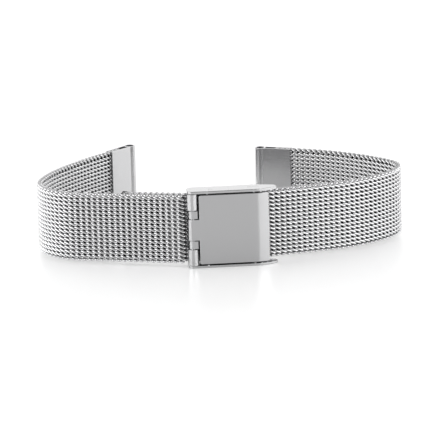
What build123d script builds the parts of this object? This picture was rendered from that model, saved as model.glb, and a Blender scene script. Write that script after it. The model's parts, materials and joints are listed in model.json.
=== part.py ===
from build123d import *
import math
import os

# Woven wire watch band for narrow lugs, closed at its fold-over slider clasp and standing on its edge.
# X runs along the clasp, Y from the outside of the clasp towards the wrist, Z across the strap.
# The band is laid out from the clasp's hinge pin and moved at the end to the middle of its footprint.

# Woven strap: each stretch has a length, as a share of the arm's unit stretch, and a turn in degrees
strap_width = 14.0
strap_thickness = 1.15
flex_gap = 0.05
short_heading = 163
short_stretch = 5.6
short_length_shares = (2.964, 1.0, 1.0, 1.0, 1.0, 2.0, 2.9)
short_turns = (0, 1, 32, 28, 30, 17, 9)
long_stretch = 5.2
long_length_shares = (2.3, 1.5, 1.5, 1.0, 1.0, 2.0, 2.65)
long_turns = (7, 15, 18, 33, 44, 13, 20)
tail_length = 14.2
tip_cover = 0.9
tip_wall = 0.14

# Clasp: places along it are shares of its length from the hinge pin to its nose
clasp_length = 17.2
flat_share = 0.727
lid_share = 0.8965
plate_share = 0.814
bend_start_share = 0.407
bend_share = 0.2326
lever_share = 0.442
short_tab_shares = (0.198, 0.236)
long_tab_shares = (0.651, 0.779)
detent_shares = (0.172, 0.718, 0.8)
bend_turn = 9
strap_exit = 0.5

# Clasp base: a channel of sheet, its floor on the wrist side
wall = 0.5
strap_side_gap = 0.45
nose_radius = 7.0
nose_setback = 0.4
nose_rise = 0.5
nose_round = 0.35
heel_radius = 1.3
wall_lip = 0.3
edge_round = 0.12
floor_thickness = 0.4
floor_gap = 0.05
front_strip_start = 0.5
front_strip_end = 1.3
detent_radius = 0.2
detent_height = 0.2

# Hinge: the strap end's knuckles, the hooks of the hook plate and the lid's barrel share one pin
pin_radius = 0.48
pin_end_gap = 0.12
barrel_radius = 1.0
hook_radius = 0.95
end_knuckle_radius = 1.15
running_gap = 0.05
press_gap = 0.02
knuckle_gap = 0.2
knuckle_end_gap = 0.1
barrel_length = 4.25
hook_length = 1.55
hook_mouth_angle = 218
edge_gap = 0.1

# Lid
lid_thickness = 0.45
lid_side_gap = 0.3
lid_corner_radius = 0.4

# Hook plate between lid and strap, held by two tabs in each wall
plate_thickness = 0.4
slot_gap = 0.03

# Lock lever, the part of the floor that lifts to free the strap
lever_gap = 0.15
lever_barrel_radius = 0.35
lever_pin_radius = 0.15
lever_notch_radius = 1.4

# Strap end and lug ends
end_leaf = 0.3
end_leaf_length = 5.5
end_leaf_inset = 0.3
strap_start_gap = 0.25
fit_gap = 0.02
lug_length = 8.0
lug_tube_radius = 1.2
lug_bore_radius = 0.82
lug_sheet = 0.35
lug_cover = 4.0

# Heights across the strap
strap_low = wall + strap_side_gap
strap_high = strap_low + strap_width
inner_low = wall
inner_high = strap_high + strap_side_gap
base_height = inner_high + wall
middle = base_height / 2

# Lengths along the clasp
flat_length = flat_share * clasp_length
lid_length = lid_share * clasp_length
plate_length = plate_share * clasp_length
bend_start = bend_start_share * clasp_length
bend_length = bend_share * clasp_length
lever_pivot = lever_share * clasp_length
strap_in_clasp = clasp_length + strap_exit
tabs = [[share * clasp_length for share in shares] for shares in (short_tab_shares, long_tab_shares)]

# Depths through the clasp, from the lid's face to the floor
half_strap = strap_thickness / 2
lid_face = -barrel_radius
strap_front = end_knuckle_radius + running_gap
plate_gap = strap_front - hook_radius
strap_middle = strap_front + half_strap
floor_inner = half_strap + floor_gap
floor_outer = floor_inner + floor_thickness
plate_back = -(half_strap + plate_gap)
plate_front = plate_back - plate_thickness
lid_edge = end_knuckle_radius + edge_gap
hook_bore = pin_radius + running_gap
lid_swing_radius = math.hypot(lid_edge, lid_face + lid_thickness)

pin_place = (0, 0, 0)
clasp_entry = (0, strap_middle, 0)
lever_place = (lever_pivot, strap_middle + floor_inner + lever_barrel_radius, 0)
short_start = (0, 0, short_heading)


def ahead(pose, length, turn=0):
    """The place and heading at the end of a run that turns evenly."""
    x, y, heading = pose
    start, end = math.radians(heading), math.radians(heading + turn)
    if turn:
        radius = length / (end - start)
        x += radius * (math.sin(end) - math.sin(start))
        y += radius * (math.cos(start) - math.cos(end))
    else:
        x += length * math.cos(start)
        y += length * math.sin(start)
    return x, y, heading + turn


def beside(pose, offset):
    """The point at an offset to the left of a pose."""
    x, y, heading = pose
    angle = math.radians(heading)
    return x - offset * math.sin(angle), y + offset * math.cos(angle)


def ribbon(pose, length, turn, right, left):
    """The plan of a sheet that follows a run, between two offsets to the left of it."""
    half = ahead(pose, length / 2, turn / 2)
    end = ahead(pose, length, turn)
    if turn:
        near = ThreePointArc(beside(pose, right), beside(half, right), beside(end, right))
        far = ThreePointArc(beside(end, left), beside(half, left), beside(pose, left))
    else:
        near = Line(beside(pose, right), beside(end, right))
        far = Line(beside(end, left), beside(pose, left))
    closing = Line(beside(end, right), beside(end, left))
    opening = Line(beside(pose, left), beside(pose, right))
    return make_face([near, closing, far, opening])


def arc(x, y, radius, start, end):
    """An arc about a centre, between two angles in degrees."""
    points = []
    for angle in (start, (start + end) / 2, end):
        turned = math.radians(angle)
        points.append((x + radius * math.cos(turned), y + radius * math.sin(turned)))
    return ThreePointArc(*points)


def disc(pose, radius):
    return Pos(pose[0], pose[1]) * Circle(radius)


def rectangle(x0, x1, y0, y1):
    return Pos((x0 + x1) / 2, (y0 + y1) / 2) * Rectangle(x1 - x0, y1 - y0)


def slab(plan, low, high):
    """A plan raised between two heights across the strap."""
    return Pos(0, 0, low) * extrude(plan, amount=high - low, dir=(0, 0, 1))


def both_sides(solid):
    """A piece and its twin at the other edge of the strap."""
    return solid + mirror(solid, about=Plane.XY.offset(middle))


def clasp_sheet(start, end, right, left):
    """The plan of a sheet beside the strap's way through the clasp, between two lengths along it."""
    runs = ((bend_start, 0), (bend_length, bend_turn), (strap_in_clasp - bend_start - bend_length, 0))
    plan, pose, done = None, clasp_entry, 0
    for length, turn in runs:
        low, high = max(start - done, 0), min(end - done, length)
        if low < high:
            first = ahead(pose, low, turn * low / length)
            piece = ribbon(first, high - low, turn * (high - low) / length, right, left)
            plan = piece if plan is None else plan + piece
        pose = ahead(pose, length, turn)
        done += length
    return plan


def clasp_exit():
    """Where the strap leaves the clasp."""
    pose = ahead(clasp_entry, bend_start)
    pose = ahead(pose, bend_length, bend_turn)
    return ahead(pose, strap_in_clasp - bend_start - bend_length)


# Height ranges of the hinge's knuckles, from the middle of the strap to its edge
barrel_range = (middle - barrel_length / 2, middle + barrel_length / 2)
hook_range = (barrel_range[1] + knuckle_gap, barrel_range[1] + knuckle_gap + hook_length)
knuckle_range = (hook_range[1] + knuckle_gap, inner_high - knuckle_end_gap)


def wall_plan():
    """A side wall: round at the hinge, straight along the lid, curved to its nose, its back just past the floor."""
    nose_y = lid_face + nose_radius
    nose_turn = math.degrees(math.asin((clasp_length - flat_length) / nose_radius))
    nose = arc(flat_length, nose_y, nose_radius, -90, nose_turn - 90)
    bend_end = ahead(ahead(clasp_entry, bend_start), bend_length, bend_turn)
    floor_end = beside(ahead(bend_end, flat_length - bend_start - bend_length), floor_outer)
    nose_back = (clasp_length - nose_setback, strap_middle + nose_rise)
    back_y = strap_middle + floor_outer + wall_lip
    heel_x = heel_radius - barrel_radius
    heel_y = back_y - heel_radius
    edges = [
        arc(0, 0, barrel_radius, 180, 270),
        Line((0, lid_face), (flat_length, lid_face)),
        nose,
        Line(nose @ 1, nose_back),
        Line(nose_back, floor_end),
        Line(floor_end, (bend_start, back_y)),
        Line((bend_start, back_y), (heel_x, back_y)),
        arc(heel_x, heel_y, heel_radius, 90, 180),
        Line((-barrel_radius, heel_y), (-barrel_radius, 0)),
    ]
    plan = make_face(edges)
    return fillet(plan.vertices().sort_by(Axis.X)[-2:], nose_round)


def clasp_base():
    """Two walls on a floor that is open where the lock lever lies."""
    side = slab(wall_plan(), 0, wall)
    side = fillet(side.faces().sort_by(Axis.Z)[0].edges(), edge_round)
    base = both_sides(side)
    lever_end = lever_pivot + lever_barrel_radius + lever_gap
    floor = clasp_sheet(lever_end, flat_length, floor_inner, floor_outer)
    floor += clasp_sheet(front_strip_start, front_strip_end, floor_inner, floor_outer)
    base += slab(floor, edge_round, base_height - edge_round)
    for start, end in tabs:
        slot = clasp_sheet(start - slot_gap, end + slot_gap, plate_front - slot_gap, plate_back + slot_gap)
        base -= slab(slot, -wall, base_height + wall)
    base -= slab(disc(lever_place, lever_pin_radius + press_gap), -wall, base_height + wall)
    for share in detent_shares:
        stud = slab(disc((share * clasp_length, lid_face + lid_thickness / 2), detent_radius), 0, wall + detent_height)
        stud = fillet(stud.edges().sort_by(Axis.Z)[-1], detent_radius / 2)
        base += both_sides(stud)
    return base


def hook_plate():
    """The plate in front of the strap: two hooks round the hinge pin, clear of the lid's swing, and wall tabs."""
    far = 2 * hook_radius
    mouth_end = math.radians(hook_mouth_angle)
    mouth = Polygon(
        (0, 0),
        (far, 0),
        (far, far),
        (-far, far),
        (far * math.cos(mouth_end), far * math.sin(mouth_end)),
        align=None,
    )
    shoulder = rectangle(0, lid_edge - edge_gap, -hook_radius, hook_radius)
    shoulder &= disc(pin_place, lid_swing_radius - running_gap)
    shoulder -= rectangle(0, hook_bore, 0, hook_radius)
    hook = disc(pin_place, hook_radius) - mouth + shoulder - disc(pin_place, hook_bore)
    hook += rectangle(hook_bore, lid_edge + edge_gap, hook_radius - plate_thickness, hook_radius)
    sheet = clasp_sheet(lid_edge, plate_length, plate_front, plate_back)
    plate = slab(sheet, inner_low + slot_gap, inner_high - slot_gap)
    plate += both_sides(slab(hook, *hook_range))
    for start, end in tabs:
        plate += slab(clasp_sheet(start, end, plate_front, plate_back), 0, base_height)
    return plate


def lid_sheet(start):
    """The plan of the lid's sheet, from a distance off the hinge to its curved-back end."""
    inner = lid_face + lid_thickness
    nose_y = lid_face + nose_radius
    turn = math.degrees(math.asin((lid_length - flat_length) / nose_radius))
    outer_arc = arc(flat_length, nose_y, nose_radius, -90, turn - 90)
    inner_arc = arc(flat_length, nose_y, nose_radius - lid_thickness, turn - 90, -90)
    edges = [
        Line((start, lid_face), (flat_length, lid_face)),
        outer_arc,
        Line(outer_arc @ 1, inner_arc @ 0),
        inner_arc,
        Line((flat_length, inner), (start, inner)),
        Line((start, inner), (start, lid_face)),
    ]
    return make_face(edges)


def clasp_lid():
    """The lid: a flat plate whose middle tab rolls into the hinge barrel."""
    low, high = inner_low + lid_side_gap, inner_high - lid_side_gap
    plate = slab(lid_sheet(lid_edge), low, high)
    corners = plate.edges().filter_by(Axis.Y).sort_by(Axis.X)[:2]
    plate = fillet(corners, lid_corner_radius)
    curved = plate.faces().filter_by(GeomType.CYLINDER).sort_by(SortBy.AREA)[-1]
    front = plate.faces().sort_by(Axis.Y)[0]
    rim = [edge for edge in front.edges() + curved.edges() if abs(edge.center().X - flat_length) > fit_gap]
    plate = fillet(rim, edge_round)
    barrel = disc(pin_place, barrel_radius) + lid_sheet(0)
    plate += slab(barrel, *barrel_range)
    return plate - slab(disc(pin_place, hook_bore), 0, base_height)


def hinge_pin():
    return slab(disc(pin_place, pin_radius), inner_low + pin_end_gap, inner_high - pin_end_gap)


def short_strap_end():
    """Two knuckles on a leaf that lies against the wrist side of the strap's end."""
    outer = -(half_strap + fit_gap)
    inner = outer - end_leaf
    bore = disc(pin_place, pin_radius + press_gap)
    knuckle = disc(pin_place, end_knuckle_radius) - bore
    tongue = ribbon(ahead(short_start, hook_bore), end_leaf_length - hook_bore, 0, inner, outer) - bore
    leaf_start = end_knuckle_radius + strap_start_gap
    leaf = ribbon(ahead(short_start, leaf_start), end_leaf_length - leaf_start, 0, inner, outer)
    end = slab(leaf, strap_low + end_leaf_inset, strap_high - end_leaf_inset)
    end += both_sides(slab(tongue, knuckle_range[0], strap_high - end_leaf_inset))
    return end + both_sides(slab(knuckle, *knuckle_range))


def lock_lever():
    """A flap of the floor with a rolled barrel, and a notch in its free end to lift it by."""
    start = front_strip_end + lever_gap
    plan = clasp_sheet(start, lever_pivot, floor_inner, floor_outer)
    plan += disc(lever_place, lever_barrel_radius)
    plan -= disc(lever_place, lever_pin_radius + running_gap)
    lever = slab(plan, inner_low + lever_gap, inner_high - lever_gap)
    depth = strap_middle + floor_outer
    notch = Pos(start - lever_notch_radius / 2, depth, middle) * Rot(90, 0, 0)
    return lever - notch * Cylinder(lever_notch_radius, 2 * strap_thickness)


def lever_pin():
    return slab(disc(lever_place, lever_pin_radius), fit_gap, base_height - fit_gap)


def strap_plan(runs, pose):
    """The plan of a strap stretch made of several runs, and the pose at its end."""
    plan = None
    for length, turn in runs:
        piece = ribbon(pose, length, turn, -half_strap, half_strap)
        plan = piece if plan is None else plan + piece
        pose = ahead(pose, length, turn)
    return plan, pose


def strap_slab(plan):
    return slab(plan, strap_low, strap_high)


def clasp_mesh():
    """The long strap inside the clasp, hollow at both ends for the stretches that flex there."""
    plan = clasp_sheet(0, strap_in_clasp, -half_strap, half_strap)
    for pose in (clasp_entry, clasp_exit()):
        plan -= disc(pose, half_strap + flex_gap)
    return strap_slab(plan)


def tail_pose():
    return clasp_entry[0], clasp_entry[1], short_heading


def tail_mesh():
    """The free end of the long strap, tucked behind the short one."""
    plan, _ = strap_plan(((tail_length, 0),), tail_pose())
    return strap_slab(plan + disc(clasp_entry, half_strap))


def tail_tip():
    """The folded strip that closes the free end."""
    start = ahead(tail_pose(), tail_length - tip_cover)
    inside = half_strap + fit_gap
    outside = inside + tip_wall
    plan = ribbon(start, tip_cover + fit_gap + tip_wall, 0, -outside, outside)
    plan -= ribbon(ahead(start, -tip_cover), 2 * tip_cover + fit_gap, 0, -inside, inside)
    return strap_slab(plan)


def strap_arm(prefix, pose, lengths, turns, flat_start):
    """The stretches of one arm out to its lug end, the pivots where they flex and the lug bore."""
    made, pivots = {}, []
    for n, (length, turn) in enumerate(zip(lengths, turns)):
        name = f"{prefix}_mesh_{n + 1}"
        last = n == len(lengths) - 1
        runs = [(length, turn)]
        if last:
            runs.append((lug_cover, 0))
        plan, end = strap_plan(runs, pose)
        if n or not flat_start:
            plan += disc(pose, half_strap)
            pivots.append((name, pose))
        if not last:
            plan -= disc(end, half_strap + flex_gap)
        made[name] = strap_slab(plan)
        pose = end
    made[f"{prefix}_lug_end"], bore = lug_end(ahead(pose, -lug_cover))
    return made, pivots, bore


def lug_end(pose):
    """A strip folded round a tube for the spring bar, its two leaves closed over the strap."""
    tube = ahead(pose, lug_length - lug_tube_radius)
    leaf = lug_length - lug_tube_radius - lug_bore_radius
    inner = half_strap + fit_gap
    plan = disc(tube, lug_tube_radius)
    plan += ribbon(pose, leaf, 0, inner, inner + lug_sheet)
    plan += ribbon(pose, leaf, 0, -inner - lug_sheet, -inner)
    plan -= disc(tube, lug_bore_radius)
    return strap_slab(plan), tube


parts = {
    "clasp_base": clasp_base(),
    "hook_plate": hook_plate(),
    "clasp_lid": clasp_lid(),
    "hinge_pin": hinge_pin(),
    "short_strap_end": short_strap_end(),
    "lock_lever": lock_lever(),
    "lever_pin": lever_pin(),
    "clasp_mesh": clasp_mesh(),
    "tail_mesh": tail_mesh(),
    "tail_tip": tail_tip(),
}
mesh_start = ahead(short_start, end_knuckle_radius + strap_start_gap)
short_lengths = [share * short_stretch for share in short_length_shares]
long_lengths = [share * long_stretch for share in long_length_shares]
short_made, short_pivots, short_bore = strap_arm(
    "short", mesh_start, short_lengths, [-turn for turn in short_turns], True
)
long_made, long_pivots, long_bore = strap_arm("long", clasp_exit(), long_lengths, long_turns, False)
parts.update(short_made)
parts.update(long_made)

# The origin is the middle of the footprint
boxes = [solid.bounding_box() for solid in parts.values()]
centre_x = (min(box.min.X for box in boxes) + max(box.max.X for box in boxes)) / 2
centre_y = (min(box.min.Y for box in boxes) + max(box.max.Y for box in boxes)) / 2
to_origin = Pos(-centre_x, -centre_y, 0)

os.makedirs("parts", exist_ok=True)
for node, solid in parts.items():
    export_step(to_origin * solid, f"parts/{node}.step")

# Pivots and bores in the band's own frame
places = [("hinge", pin_place), ("lever", lever_place), ("tail_mesh", clasp_entry)]
places += short_pivots + long_pivots + [("short_bore", short_bore), ("long_bore", long_bore)]
for name, (x, y, _) in places:
    print("place", name, round(x - centre_x, 4), round(y - centre_y, 4))
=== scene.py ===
# Woven wire watch band, closed at its fold-over slider clasp and standing on its edge
import json
import math

import bmesh
import bpy
from mathutils import Matrix, Vector
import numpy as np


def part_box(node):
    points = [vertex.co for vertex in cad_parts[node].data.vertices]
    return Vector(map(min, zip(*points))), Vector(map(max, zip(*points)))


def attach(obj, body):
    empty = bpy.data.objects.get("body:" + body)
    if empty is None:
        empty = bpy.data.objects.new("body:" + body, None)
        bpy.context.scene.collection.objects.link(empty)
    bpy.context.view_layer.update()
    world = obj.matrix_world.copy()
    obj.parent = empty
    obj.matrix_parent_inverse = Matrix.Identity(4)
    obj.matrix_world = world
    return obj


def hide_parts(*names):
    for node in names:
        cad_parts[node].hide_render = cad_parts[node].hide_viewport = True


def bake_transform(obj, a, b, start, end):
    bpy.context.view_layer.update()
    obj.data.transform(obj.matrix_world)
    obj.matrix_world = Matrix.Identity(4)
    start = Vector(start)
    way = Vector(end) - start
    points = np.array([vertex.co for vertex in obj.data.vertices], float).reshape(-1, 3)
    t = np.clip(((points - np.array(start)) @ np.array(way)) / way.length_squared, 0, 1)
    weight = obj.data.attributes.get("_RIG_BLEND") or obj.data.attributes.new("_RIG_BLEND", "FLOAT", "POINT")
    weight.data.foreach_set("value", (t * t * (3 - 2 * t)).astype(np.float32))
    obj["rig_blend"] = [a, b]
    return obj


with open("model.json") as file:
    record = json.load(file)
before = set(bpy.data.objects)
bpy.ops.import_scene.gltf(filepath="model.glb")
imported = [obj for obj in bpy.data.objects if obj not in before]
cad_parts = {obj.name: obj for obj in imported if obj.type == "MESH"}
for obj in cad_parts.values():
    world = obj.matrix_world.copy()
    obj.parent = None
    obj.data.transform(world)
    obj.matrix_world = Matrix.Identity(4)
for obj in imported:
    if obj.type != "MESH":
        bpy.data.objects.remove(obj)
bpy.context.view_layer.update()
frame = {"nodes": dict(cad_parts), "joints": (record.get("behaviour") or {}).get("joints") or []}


# Woven strap
# Every column is one spiral of bright drawn stainless wire, rolled flat and hooked through the next one.
# The spirals stand across the strap, so it bends between them. Each ends in a small ring at either edge.
strap_low, strap_high = (corner[2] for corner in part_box("clasp_mesh"))
weave_thickness = 0.00114
wire_diameter = 0.00038
column_pitch = 0.00117
spiral_width = 0.00164
turns = 16
rolled_share = 1.35  # how much thicker than the wire a strand on a face is, spread by the rolling
spiral_lean = 0.00016  # how much higher a turn stands on the outer face than on the inner one
rim_height = 0.0004  # the height at each edge of the strap over which the painted shade between the strands fades out
longest_reach = 0.0034  # how far to each side a joint's bend spreads at most
brazed_shade_share = 0.62  # how much of the painted shade between the strands stays where braze fills the weave
nearly_straight = 0.001  # a turn in degrees that counts as none

turn_pitch = (strap_high - strap_low - 2 * wire_diameter) / turns
bend_radius = (weave_thickness - rolled_share * wire_diameter) / 2
bend_place = spiral_width / 2 - bend_radius
ring_place = (column_pitch - wire_diameter) / 2 - bend_radius
half_spiral = (spiral_width + wire_diameter) / 2


def spiral():
    """One spiral from the strap's upper edge to its lower, its outer strands falling to the right."""
    top, bottom = strap_high - wire_diameter / 2, strap_low + wire_diameter / 2
    # A bend has its side, place, level and lean, and its angles, 0 on the outer face and 180 on the inner.
    outwards = (180, 135, 90, 45, 0)
    inwards = (0, 45, 90, 135, 180)
    bends = [(-1, ring_place, top, 0, outwards[2:]), (1, ring_place, top, 0, inwards)]
    for turn in range(turns):
        start = top - wire_diameter - turn * turn_pitch
        end = start - turn_pitch + wire_diameter
        bends.append((-1, bend_place, start, spiral_lean, outwards))
        bends.append((1, bend_place, end, spiral_lean, inwards))
    bends += [(-1, ring_place, bottom, 0, outwards), (1, ring_place, bottom, 0, inwards[:3])]
    points = []
    for side, place, level, lean, angles in bends:
        for angle in angles:
            outward, sideways = math.cos(math.radians(angle)), math.sin(math.radians(angle))
            x = side * (place + bend_radius * sideways)
            thickness = rolled_share ** abs(outward)
            points.append((x, -bend_radius * outward, level + outward * lean / 2, thickness))
    curve = bpy.data.curves.new("spiral", "CURVE")
    curve.dimensions = "3D"
    curve.bevel_depth = wire_diameter / 2
    curve.bevel_resolution = 1
    curve.use_fill_caps = True
    line = curve.splines.new("POLY")
    line.points.add(len(points) - 1)
    for knot, (x, y, z, thickness) in zip(line.points, points):
        knot.co = (x, y, z, 1)
        knot.radius = thickness
    holder = bpy.data.objects.new("spiral", curve)
    bpy.context.scene.collection.objects.link(holder)
    bpy.context.view_layer.update()
    mesh = bpy.data.meshes.new_from_object(holder)
    bpy.data.objects.remove(holder)
    # The painted shade between the strands goes by depth: 0 on the faces and 1 midway between them, fading
    # to 0 at the strap's edges.
    shade_depth = mesh.attributes.new("shade_depth", "FLOAT", "POINT")
    for vertex in mesh.vertices:
        depth = 1 - abs(vertex.co.y) / (weave_thickness / 2)
        rim = min(vertex.co.z - strap_low, strap_high - vertex.co.z) / rim_height
        shade_depth.data[vertex.index].value = depth * min(max(rim, 0), 1)
    return mesh


def ahead(x, y, heading, length, turn):
    """Where a stretch of even curvature leads, headings and turns in degrees."""
    start, end = math.radians(heading), math.radians(heading + turn)
    if abs(turn) < nearly_straight:
        return x + length * math.cos(start), y + length * math.sin(start), heading
    radius = length / (end - start)
    x += radius * (math.sin(end) - math.sin(start))
    y += radius * (math.cos(start) - math.cos(end))
    return x, y, heading + turn


def pivot(joint):
    """The place of a joint."""
    return Vector(next(row for row in frame["joints"] if row["name"] == joint)["pos_m"])


def bend_to(x, y, heading, goal):
    """Length and turn of the even bend that leads to a goal."""
    way = goal.xy - Vector((x, y))
    lean = math.remainder(math.atan2(way.y, way.x) - math.radians(heading), 2 * math.pi)
    turn = 2 * math.degrees(lean)
    if abs(turn) < nearly_straight:
        return way.length, turn
    return way.length * (lean / math.sin(lean)), turn


def route(x, y, heading, runs):
    """An arm's runs with their start distance, place and heading, and the distances of its joints.

    A run comes in as a length and a turn, or as the joint that it leads to.
    """
    path, joints, done = [], [], 0
    for run in runs:
        to_joint = isinstance(run, str)
        length, turn = bend_to(x, y, heading, pivot(run)) if to_joint else run
        path.append((done, x, y, heading, length, turn))
        x, y, heading = ahead(x, y, heading, length, turn)
        done += length
        if to_joint:
            joints.append(done)
    return path, joints


def spot(path, distance):
    """Place and heading at a distance along an arm."""
    run = next(run for run in reversed(path) if distance >= run[0] or not run[0])
    done, x, y, heading, length, turn = run
    return ahead(x, y, heading, distance - done, turn * (distance - done) / length)


def weave(name, path, distances, outer_turn, brazed_end):
    """The spirals at some distances along an arm, those before brazed_end, where braze fills the weave, with
    less painted shade between the strands.
    """
    stretch = bmesh.new()
    for distance in distances:
        x, y, heading = spot(path, distance)
        before = len(stretch.verts)
        stretch.from_mesh(spiral_mesh)
        stretch.verts.ensure_lookup_table()
        turned = Matrix.Rotation(math.radians(heading + outer_turn), 4, "Z")
        placed = Matrix.Translation((x, y, 0)) @ turned
        bmesh.ops.transform(stretch, matrix=placed, verts=stretch.verts[before:])
        # Before brazed_end the painted shade between the strands is made lighter.
        if distance < brazed_end:
            for vertex in stretch.verts[before:]:
                vertex[stretch.verts.layers.float["shade_depth"]] *= brazed_shade_share
    mesh = bpy.data.meshes.new(name)
    stretch.to_mesh(mesh)
    stretch.free()
    mesh.shade_smooth()
    mesh.materials.append(drawn_wire)
    piece = bpy.data.objects.new(name, mesh)
    bpy.context.scene.collection.objects.link(piece)
    return piece


def lay_arm(prefix, path, bodies, nodes, joints, first, outer_turn, brazed_end=0):
    """Lays an arm's spirals: one piece to each joint, which flexes there, and one that rides at each end.

    The first spiral starts at the distance first, and outer_turn turns the outer faces to the outside.
    """
    total = path[-1][0] + path[-1][4]
    span = total - first - 2 * half_spiral
    count = round(span / column_pitch)
    pitch = span / count
    distances = [first + half_spiral + k * pitch for k in range(count + 1)]
    edges = [0] + joints + [total]
    cuts = [0] + [(low + high) / 2 for low, high in zip(edges, edges[1:])] + [total]
    for k, (low, high) in enumerate(zip(cuts, cuts[1:])):
        own = [distance for distance in distances if low <= distance < high]
        piece = weave(f"{prefix}_{k}", path, own, outer_turn, brazed_end)
        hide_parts(*nodes[max(k - 1, 0):k + 1])
        if k in (0, len(bodies)):
            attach(piece, bodies[min(k, len(bodies) - 1)])
            continue
        joint = joints[k - 1]
        x, y, heading = spot(path, joint)
        along = Vector((math.cos(math.radians(heading)), math.sin(math.radians(heading)), 0))
        centre = Vector((x, y, (strap_low + strap_high) / 2))
        start = centre - min(joint - low, longest_reach) * along
        end = centre + min(high - joint, longest_reach) * along
        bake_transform(piece, bodies[k - 1], bodies[k], start=start, end=end)


def linear(code):
    """An sRGB hex colour as linear values with full alpha."""
    shares = [int(code[i:i + 2], 16) / 255 for i in (0, 2, 4)]
    return [s / 12.92 if s <= 0.04045 else ((s + 0.055) / 1.055) ** 2.4 for s in shares] + [1]


def add(tree, kind, settings=(), **links):
    """A node with its settings. Each input is given a value or another node's output.

    An input goes by its name, or by i and its number where the node has that name twice.
    """
    node = tree.nodes.new(kind)
    for key, value in dict(settings).items():
        setattr(node, key, value)
    for key, value in links.items():
        numbered = key[0] == "i" and key[1:].isdigit()
        socket = node.inputs[int(key[1:]) if numbered else key.replace("_", " ")]
        if isinstance(value, bpy.types.NodeSocket):
            tree.links.new(value, socket)
        else:
            socket.default_value = value
    return node


def steel(name):
    """A new metal material with its node tree, its shader and its Object coordinates."""
    material = bpy.data.materials.new(name)
    material.use_nodes = True
    shader = material.node_tree.nodes["Principled BSDF"]
    shader.inputs["Metallic"].default_value = 1
    place = add(material.node_tree, "ShaderNodeTexCoord").outputs["Object"]
    return material, material.node_tree, shader, place


# Bright drawn stainless wire: a clean shine, broken by fine lines from the drawing die.
# Real lines lie about 0.01 mm apart. They are too fine to show and are drawn eleven times coarser.
# Between the strands, deep in the weave, the wire's colour is painted darker, nearly to black, as painted
# shade, and it is rougher there.
die_line = 0.00011
die_line_depth = 0.00001
shade_starts = 0.38
shade_closes = 0.62
drawn_wire, tree, shader, place = steel("bright_drawn_stainless_wire")
shade_depth_read = add(tree, "ShaderNodeAttribute", {"attribute_name": "shade_depth"}).outputs["Fac"]
shade_share = add(
    tree, "ShaderNodeMapRange", {"interpolation_type": "SMOOTHSTEP"},
    Value=shade_depth_read, From_Min=shade_starts, From_Max=shade_closes,
).outputs[0]
# The wire's own colour, and the near black of the painted shade between the strands.
clean, painted_shade = linear("C8C8C9"), linear("121212")
shine = add(tree, "ShaderNodeMix", {"data_type": "RGBA"}, Factor=shade_share, i6=clean, i7=painted_shade)
tree.links.new(shine.outputs[2], shader.inputs["Base Color"])
lines = add(tree, "ShaderNodeTexNoise", Vector=place, Scale=1 / die_line, Detail=2.0).outputs[0]
polish = add(tree, "ShaderNodeMapRange", Value=lines, To_Min=0.2, To_Max=0.3).outputs[0]
dull = add(tree, "ShaderNodeMix", {"data_type": "FLOAT"}, Factor=shade_share, i2=polish, i3=0.5).outputs[0]
tree.links.new(dull, shader.inputs["Roughness"])
relief = add(tree, "ShaderNodeBump", Height=lines, Strength=0.15, Distance=die_line_depth).outputs[0]
tree.links.new(relief, shader.inputs["Normal"])

spiral_mesh = spiral()

# The short arm starts at the hinge pin and bends round the wrist to its lug end.
# The leaf of its end piece is brazed in up to brazed_end. A bend is a length and its turn in degrees.
arm_heading = 163
strap_start = 0.0014
brazed_end = 0.0052
short_last_bend = (0.01624, -9)
lug_flat = (0.004, 0)
hinge = pivot("lid_hinge")
short_runs = [f"short_flex_{k}" for k in range(1, 7)] + [short_last_bend, lug_flat]
short_path, short_joints = route(hinge.x, hinge.y, arm_heading, short_runs)
short_bodies = [f"short_{k}" for k in range(1, 8)]
short_nodes = [f"short_mesh_{k}" for k in range(1, 8)]
lay_arm(
    "short_weave", short_path, short_bodies, short_nodes, short_joints,
    first=strap_start, outer_turn=180, brazed_end=brazed_end,
)

# The long arm starts at its tucked-in free end, slides through the clasp and bends round to its lug end.
free_end_gap = 0.0001
tail_length = 0.0142
entry_bend = 0.0028
clasp_straight = 0.007
clasp_bend = (0.004, 9)
long_last_bend = (0.01378, 20)
entry = pivot("tail_flex")
free_end = ahead(entry.x, entry.y, arm_heading, tail_length, 0)
long_runs = [(tail_length - entry_bend / 2, 0), (entry_bend, 180 - arm_heading)]
long_runs += [(clasp_straight - entry_bend / 2, 0), clasp_bend]
long_runs += [f"long_flex_{k}" for k in range(1, 8)] + [long_last_bend, lug_flat]
long_path, long_joints = route(free_end[0], free_end[1], arm_heading - 180, long_runs)
long_joints = [tail_length] + long_joints
long_bodies = ["tail", "clasp"] + [f"long_{k}" for k in range(1, 8)]
long_nodes = ["tail_mesh", "clasp_mesh"] + [f"long_mesh_{k}" for k in range(1, 8)]
lay_arm("long_weave", long_path, long_bodies, long_nodes, long_joints, first=free_end_gap, outer_turn=0)


# Lug ends and tail tip
# Strips of cold-rolled stainless sheet, folded over the ends of the strap and pressed tight.
# The lug ends hold a tube for the watch's spring bar.
def dress(material, *nodes):
    """Gives CAD nodes a material in place of their own."""
    for node in nodes:
        slots = frame["nodes"][node].data.materials
        slots.clear()
        slots.append(material)


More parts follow.
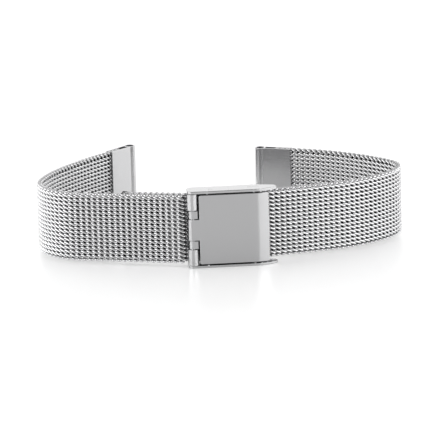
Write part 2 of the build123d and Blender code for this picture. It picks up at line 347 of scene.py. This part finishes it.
# Rolled and polished sheet: grey and even, its faint lines across the strap soften what it mirrors.
# Real lines lie about 0.01 mm apart. They are too fine to show and are drawn eight times coarser.
rolling_line = 0.00008
rolling_line_depth = 0.00001
rolled_strip, tree, shader, place = steel("cold_rolled_stainless_strip")
shader.inputs["Base Color"].default_value = linear("C0C0C1")
drawn_out = add(tree, "ShaderNodeMapping", Vector=place, Scale=(1.0, 1.0, 0.03)).outputs[0]
lines = add(tree, "ShaderNodeTexNoise", Vector=drawn_out, Scale=1 / rolling_line, Detail=3.0).outputs[0]
polish = add(tree, "ShaderNodeMapRange", Value=lines, To_Min=0.16, To_Max=0.24).outputs[0]
tree.links.new(polish, shader.inputs["Roughness"])
relief = add(tree, "ShaderNodeBump", Height=lines, Strength=0.02, Distance=rolling_line_depth).outputs[0]
tree.links.new(relief, shader.inputs["Normal"])
dress(rolled_strip, "short_lug_end", "long_lug_end", "tail_tip")


# Hinge pin and strap end
# A ground pin, pressed into the two knuckles of the short arm's end, a small stamping brazed to the strap.
# The knuckles were rolled to shape, and the stamping was barrel-polished before the pin went in.

# Ground steel: a silky shine with fine rings round the pin.
# Real rings lie a few thousandths of a millimetre apart. They are too fine to show and are drawn coarser.
grinding_line = 0.00006
ground_pin, tree, shader, place = steel("ground_stainless_pin")
shader.inputs["Base Color"].default_value = linear("C2C2C3")
rings = add(tree, "ShaderNodeMapping", Vector=place, Scale=(0.03, 0.03, 1.0)).outputs[0]
lines = add(tree, "ShaderNodeTexNoise", Vector=rings, Scale=1 / grinding_line, Detail=2.0).outputs[0]
polish = add(tree, "ShaderNodeMapRange", Value=lines, To_Min=0.15, To_Max=0.25).outputs[0]
tree.links.new(polish, shader.inputs["Roughness"])
dress(ground_pin, "hinge_pin")

# Barrel-polished stamping: bright, with soft edges and the slight unevenness that tumbling leaves.
# Its marks are drawn about as large as the largest real ones, a quarter of a millimetre.
tumbling_mark = 0.00025
tumbling_mark_depth = 0.00002
tumbled_stamping, tree, shader, place = steel("barrel_polished_stainless_stamping")
shader.inputs["Base Color"].default_value = linear("B4B4B5")
marks = add(tree, "ShaderNodeTexNoise", Vector=place, Scale=1 / tumbling_mark, Detail=4.0).outputs[0]
polish = add(
    tree, "ShaderNodeMapRange", Value=marks, From_Min=0.3, From_Max=0.7, To_Min=0.1, To_Max=0.18,
).outputs[0]
tree.links.new(polish, shader.inputs["Roughness"])
relief = add(tree, "ShaderNodeBump", Height=marks, Strength=0.03, Distance=tumbling_mark_depth).outputs[0]
tree.links.new(relief, shader.inputs["Normal"])
dress(tumbled_stamping, "short_strap_end")


# Lid
# The cover of the clasp, a flat plate of stainless sheet with its far end curved back.
# Its middle tab is rolled round the hinge pin, and it was buffed last of all.

# Buffed sheet: a near mirror, its faint buffing lines across the strap soften only the edges in it.
# Real lines lie about 0.01 mm apart. They are too fine to show and are drawn nine times coarser.
buffing_line = 0.00009
buffing_line_depth = 0.00001
buffed_sheet, tree, shader, place = steel("buffed_stainless_sheet")
shader.inputs["Base Color"].default_value = linear("AFAFB0")
drawn_out = add(tree, "ShaderNodeMapping", Vector=place, Scale=(1.0, 1.0, 0.02)).outputs[0]
lines = add(tree, "ShaderNodeTexNoise", Vector=drawn_out, Scale=1 / buffing_line, Detail=3.0).outputs[0]
polish = add(tree, "ShaderNodeMapRange", Value=lines, To_Min=0.09, To_Max=0.13).outputs[0]
tree.links.new(polish, shader.inputs["Roughness"])
relief = add(tree, "ShaderNodeBump", Height=lines, Strength=0.01, Distance=buffing_line_depth).outputs[0]
tree.links.new(relief, shader.inputs["Normal"])
dress(buffed_sheet, "clasp_lid")


# Hook plate
# The plate under the lid, blanked from bright rolled sheet and left as rolled, as nobody sees much of it.
# Two hooks at its end reach round the hinge pin, and two tabs in each side are riveted into the walls.

# Bright rolled sheet: a clear grey that changes slightly from line to line along the strap.
# Real lines lie a few hundredths of a millimetre apart. They are drawn coarser, so that they show.
mill_line = 0.00012
mill_sheet, tree, shader, place = steel("bright_rolled_stainless_sheet")
along = add(tree, "ShaderNodeMapping", Vector=place, Scale=(0.04, 0.04, 1.0)).outputs[0]
lines = add(tree, "ShaderNodeTexNoise", Vector=along, Scale=1 / mill_line, Detail=3.0).outputs[0]
darker, lighter = linear("A8A8A9"), linear("BABABB")
shade = add(tree, "ShaderNodeMix", {"data_type": "RGBA"}, Factor=lines, i6=darker, i7=lighter)
tree.links.new(shade.outputs[2], shader.inputs["Base Color"])
polish = add(tree, "ShaderNodeMapRange", Value=lines, To_Min=0.14, To_Max=0.24).outputs[0]
tree.links.new(polish, shader.inputs["Roughness"])
dress(mill_sheet, "hook_plate")


# Clasp base
# One blank bent to a channel: two side walls and a floor on the wrist side, open where the lock lever lies.
# Its walls take the tabs of the hook plate and the lever's pin.

# Barrel-polished sheet: bright like the strap end, with longer soft marks of handling along it.
handling_mark = 0.0004
handling_share = 0.3
polished_channel, tree, shader, place = steel("barrel_polished_stainless_channel")
shader.inputs["Base Color"].default_value = linear("B4B4B5")
marks = add(tree, "ShaderNodeTexNoise", Vector=place, Scale=1 / tumbling_mark, Detail=4.0).outputs[0]
swept = add(tree, "ShaderNodeMapping", Vector=place, Scale=(0.05, 1.0, 1.0)).outputs[0]
wear = add(tree, "ShaderNodeTexNoise", Vector=swept, Scale=1 / handling_mark, Detail=2.0).outputs[0]
finish = add(
    tree, "ShaderNodeMix", {"data_type": "FLOAT"}, Factor=handling_share, i2=marks, i3=wear,
).outputs[0]
polish = add(
    tree, "ShaderNodeMapRange", Value=finish, From_Min=0.3, From_Max=0.7, To_Min=0.1, To_Max=0.19,
).outputs[0]
tree.links.new(polish, shader.inputs["Roughness"])
relief = add(tree, "ShaderNodeBump", Height=finish, Strength=0.03, Distance=tumbling_mark_depth).outputs[0]
tree.links.new(relief, shader.inputs["Normal"])
dress(polished_channel, "clasp_base")


# Lock lever
# The flap in the clasp's floor, rolled round a thin ground pin. Pressed shut, it grips the strap.
# Its face lies on the wrist and is brushed along its length, so that fine scratches from wear don't show.

# Brushed steel: a satin shine, streaked along the clasp.
# Real brush lines lie about 0.03 mm apart. They are too fine to show and are drawn about twice as coarse.
brush_line = 0.00007
brush_line_depth = 0.00001
brushed_flap, tree, shader, place = steel("brushed_stainless_flap")
shader.inputs["Base Color"].default_value = linear("B0B0B1")
brushed = add(tree, "ShaderNodeMapping", Vector=place, Scale=(0.02, 1.0, 1.0)).outputs[0]
lines = add(tree, "ShaderNodeTexNoise", Vector=brushed, Scale=1 / brush_line, Detail=3.0).outputs[0]
polish = add(
    tree, "ShaderNodeMapRange", Value=lines, From_Min=0.3, From_Max=0.7, To_Min=0.2, To_Max=0.34,
).outputs[0]
tree.links.new(polish, shader.inputs["Roughness"])
relief = add(tree, "ShaderNodeBump", Height=lines, Strength=0.06, Distance=brush_line_depth).outputs[0]
tree.links.new(relief, shader.inputs["Normal"])
dress(brushed_flap, "lock_lever")
dress(ground_pin, "lever_pin")


# Floor
# A round sheet of white acrylic, level under the band, glossy enough to show it faintly.
# It reads as pure white where no shadow falls, to the camera and in the steel alike.
floor_radius = 3
floor_mesh = bmesh.new()
bmesh.ops.create_circle(floor_mesh, cap_ends=True, segments=96, radius=floor_radius)
mesh = bpy.data.meshes.new("floor")
floor_mesh.to_mesh(mesh)
floor_mesh.free()
floor = bpy.data.objects.new("floor", mesh)
bpy.context.scene.collection.objects.link(floor)

# Cast acrylic: white all through, with a soft gloss.
# Where it is seen, directly or in steel, a little white of its own lifts it, which lights nothing.
lift_share = 0.15
white_acrylic = bpy.data.materials.new("white_acrylic")
white_acrylic.use_nodes = True
tree = white_acrylic.node_tree
shader = tree.nodes["Principled BSDF"]
shader.inputs["Base Color"].default_value = linear("FCFCFC")
shader.inputs["Roughness"].default_value = 0.33
shader.inputs["Emission Color"].default_value = linear("FFFFFF")
rays = add(tree, "ShaderNodeLightPath").outputs
seen = add(
    tree, "ShaderNodeMath", {"operation": "MAXIMUM"}, i0=rays["Is Camera Ray"], i1=rays["Is Glossy Ray"],
).outputs[0]
lift = add(tree, "ShaderNodeMath", {"operation": "MULTIPLY"}, i0=seen, i1=lift_share).outputs[0]
tree.links.new(lift, shader.inputs["Emission Strength"])
mesh.materials.append(white_acrylic)


# Light
# A tent of white cloth with a grey opening in front for the camera.
# One soft box stands to each side of the opening and three stand behind, all turned to the band.
opening_way = (-0.1, -0.94, 0.33)
opening_edge = 0.6
opening_full = 0.85
world = bpy.data.worlds.new("light_tent")
bpy.context.scene.world = world
world.use_nodes = True
tree = world.node_tree
direction = add(tree, "ShaderNodeTexCoord").outputs["Generated"]
facing = add(
    tree, "ShaderNodeVectorMath", {"operation": "DOT_PRODUCT"}, i0=direction, i1=opening_way,
).outputs["Value"]
share = add(
    tree, "ShaderNodeMapRange", {"interpolation_type": "SMOOTHSTEP"},
    Value=facing, From_Min=opening_edge, From_Max=opening_full,
).outputs[0]
cloth, opening = linear("DDDDDD"), linear("9C9C9C")
tone = add(tree, "ShaderNodeMix", {"data_type": "RGBA"}, Factor=share, i6=cloth, i7=opening).outputs[2]
tree.links.new(tone, tree.nodes["Background"].inputs["Color"])


def soft_box(name, place, width, height, radiance):
    """An area lamp turned to the band, its power worked out from the brightness of its face."""
    lamp = bpy.data.lights.new(name, "AREA")
    lamp.shape = "RECTANGLE"
    lamp.size, lamp.size_y = width, height
    lamp.energy = radiance * math.pi * width * height
    holder = bpy.data.objects.new(name, lamp)
    holder.location = place
    holder.rotation_euler = (-Vector(place)).to_track_quat("-Z", "Y").to_euler()
    bpy.context.scene.collection.objects.link(holder)


soft_box("left_soft_box", (-0.54, -0.17, 0.14), width=0.85, height=0.26, radiance=3.3)
soft_box("right_soft_box", (0.46, -0.33, 0.14), width=0.83, height=0.26, radiance=3.3)
soft_box("back_soft_box", (0.05, 0.6, 0.24), width=0.6, height=0.3, radiance=0.65)
soft_box("left_back_soft_box", (-0.46, 0.39, 0.14), width=0.5, height=0.3, radiance=1.8)
soft_box("right_back_soft_box", (0.54, 0.25, 0.14), width=0.5, height=0.3, radiance=1.4)


# Camera
# It looks down on the clasp from in front and a little from the left, through a long lens.
# Its place and turn were fitted to the edges of the strap and the corners of the clasp.
camera_place = (-0.058349, -0.652052, 0.167318)
camera_turn = (75.9545, 1.4369, -5.4979)
camera_data = bpy.data.cameras.new("camera")
camera_data.lens = 264.8
camera_data.sensor_width = 36
camera_data.clip_start = 0.01
camera = bpy.data.objects.new("camera", camera_data)
camera.location = camera_place
camera.rotation_euler = [math.radians(angle) for angle in camera_turn]
bpy.context.scene.collection.objects.link(camera)
bpy.context.scene.camera = camera
bpy.context.scene.view_settings.view_transform = "Standard"
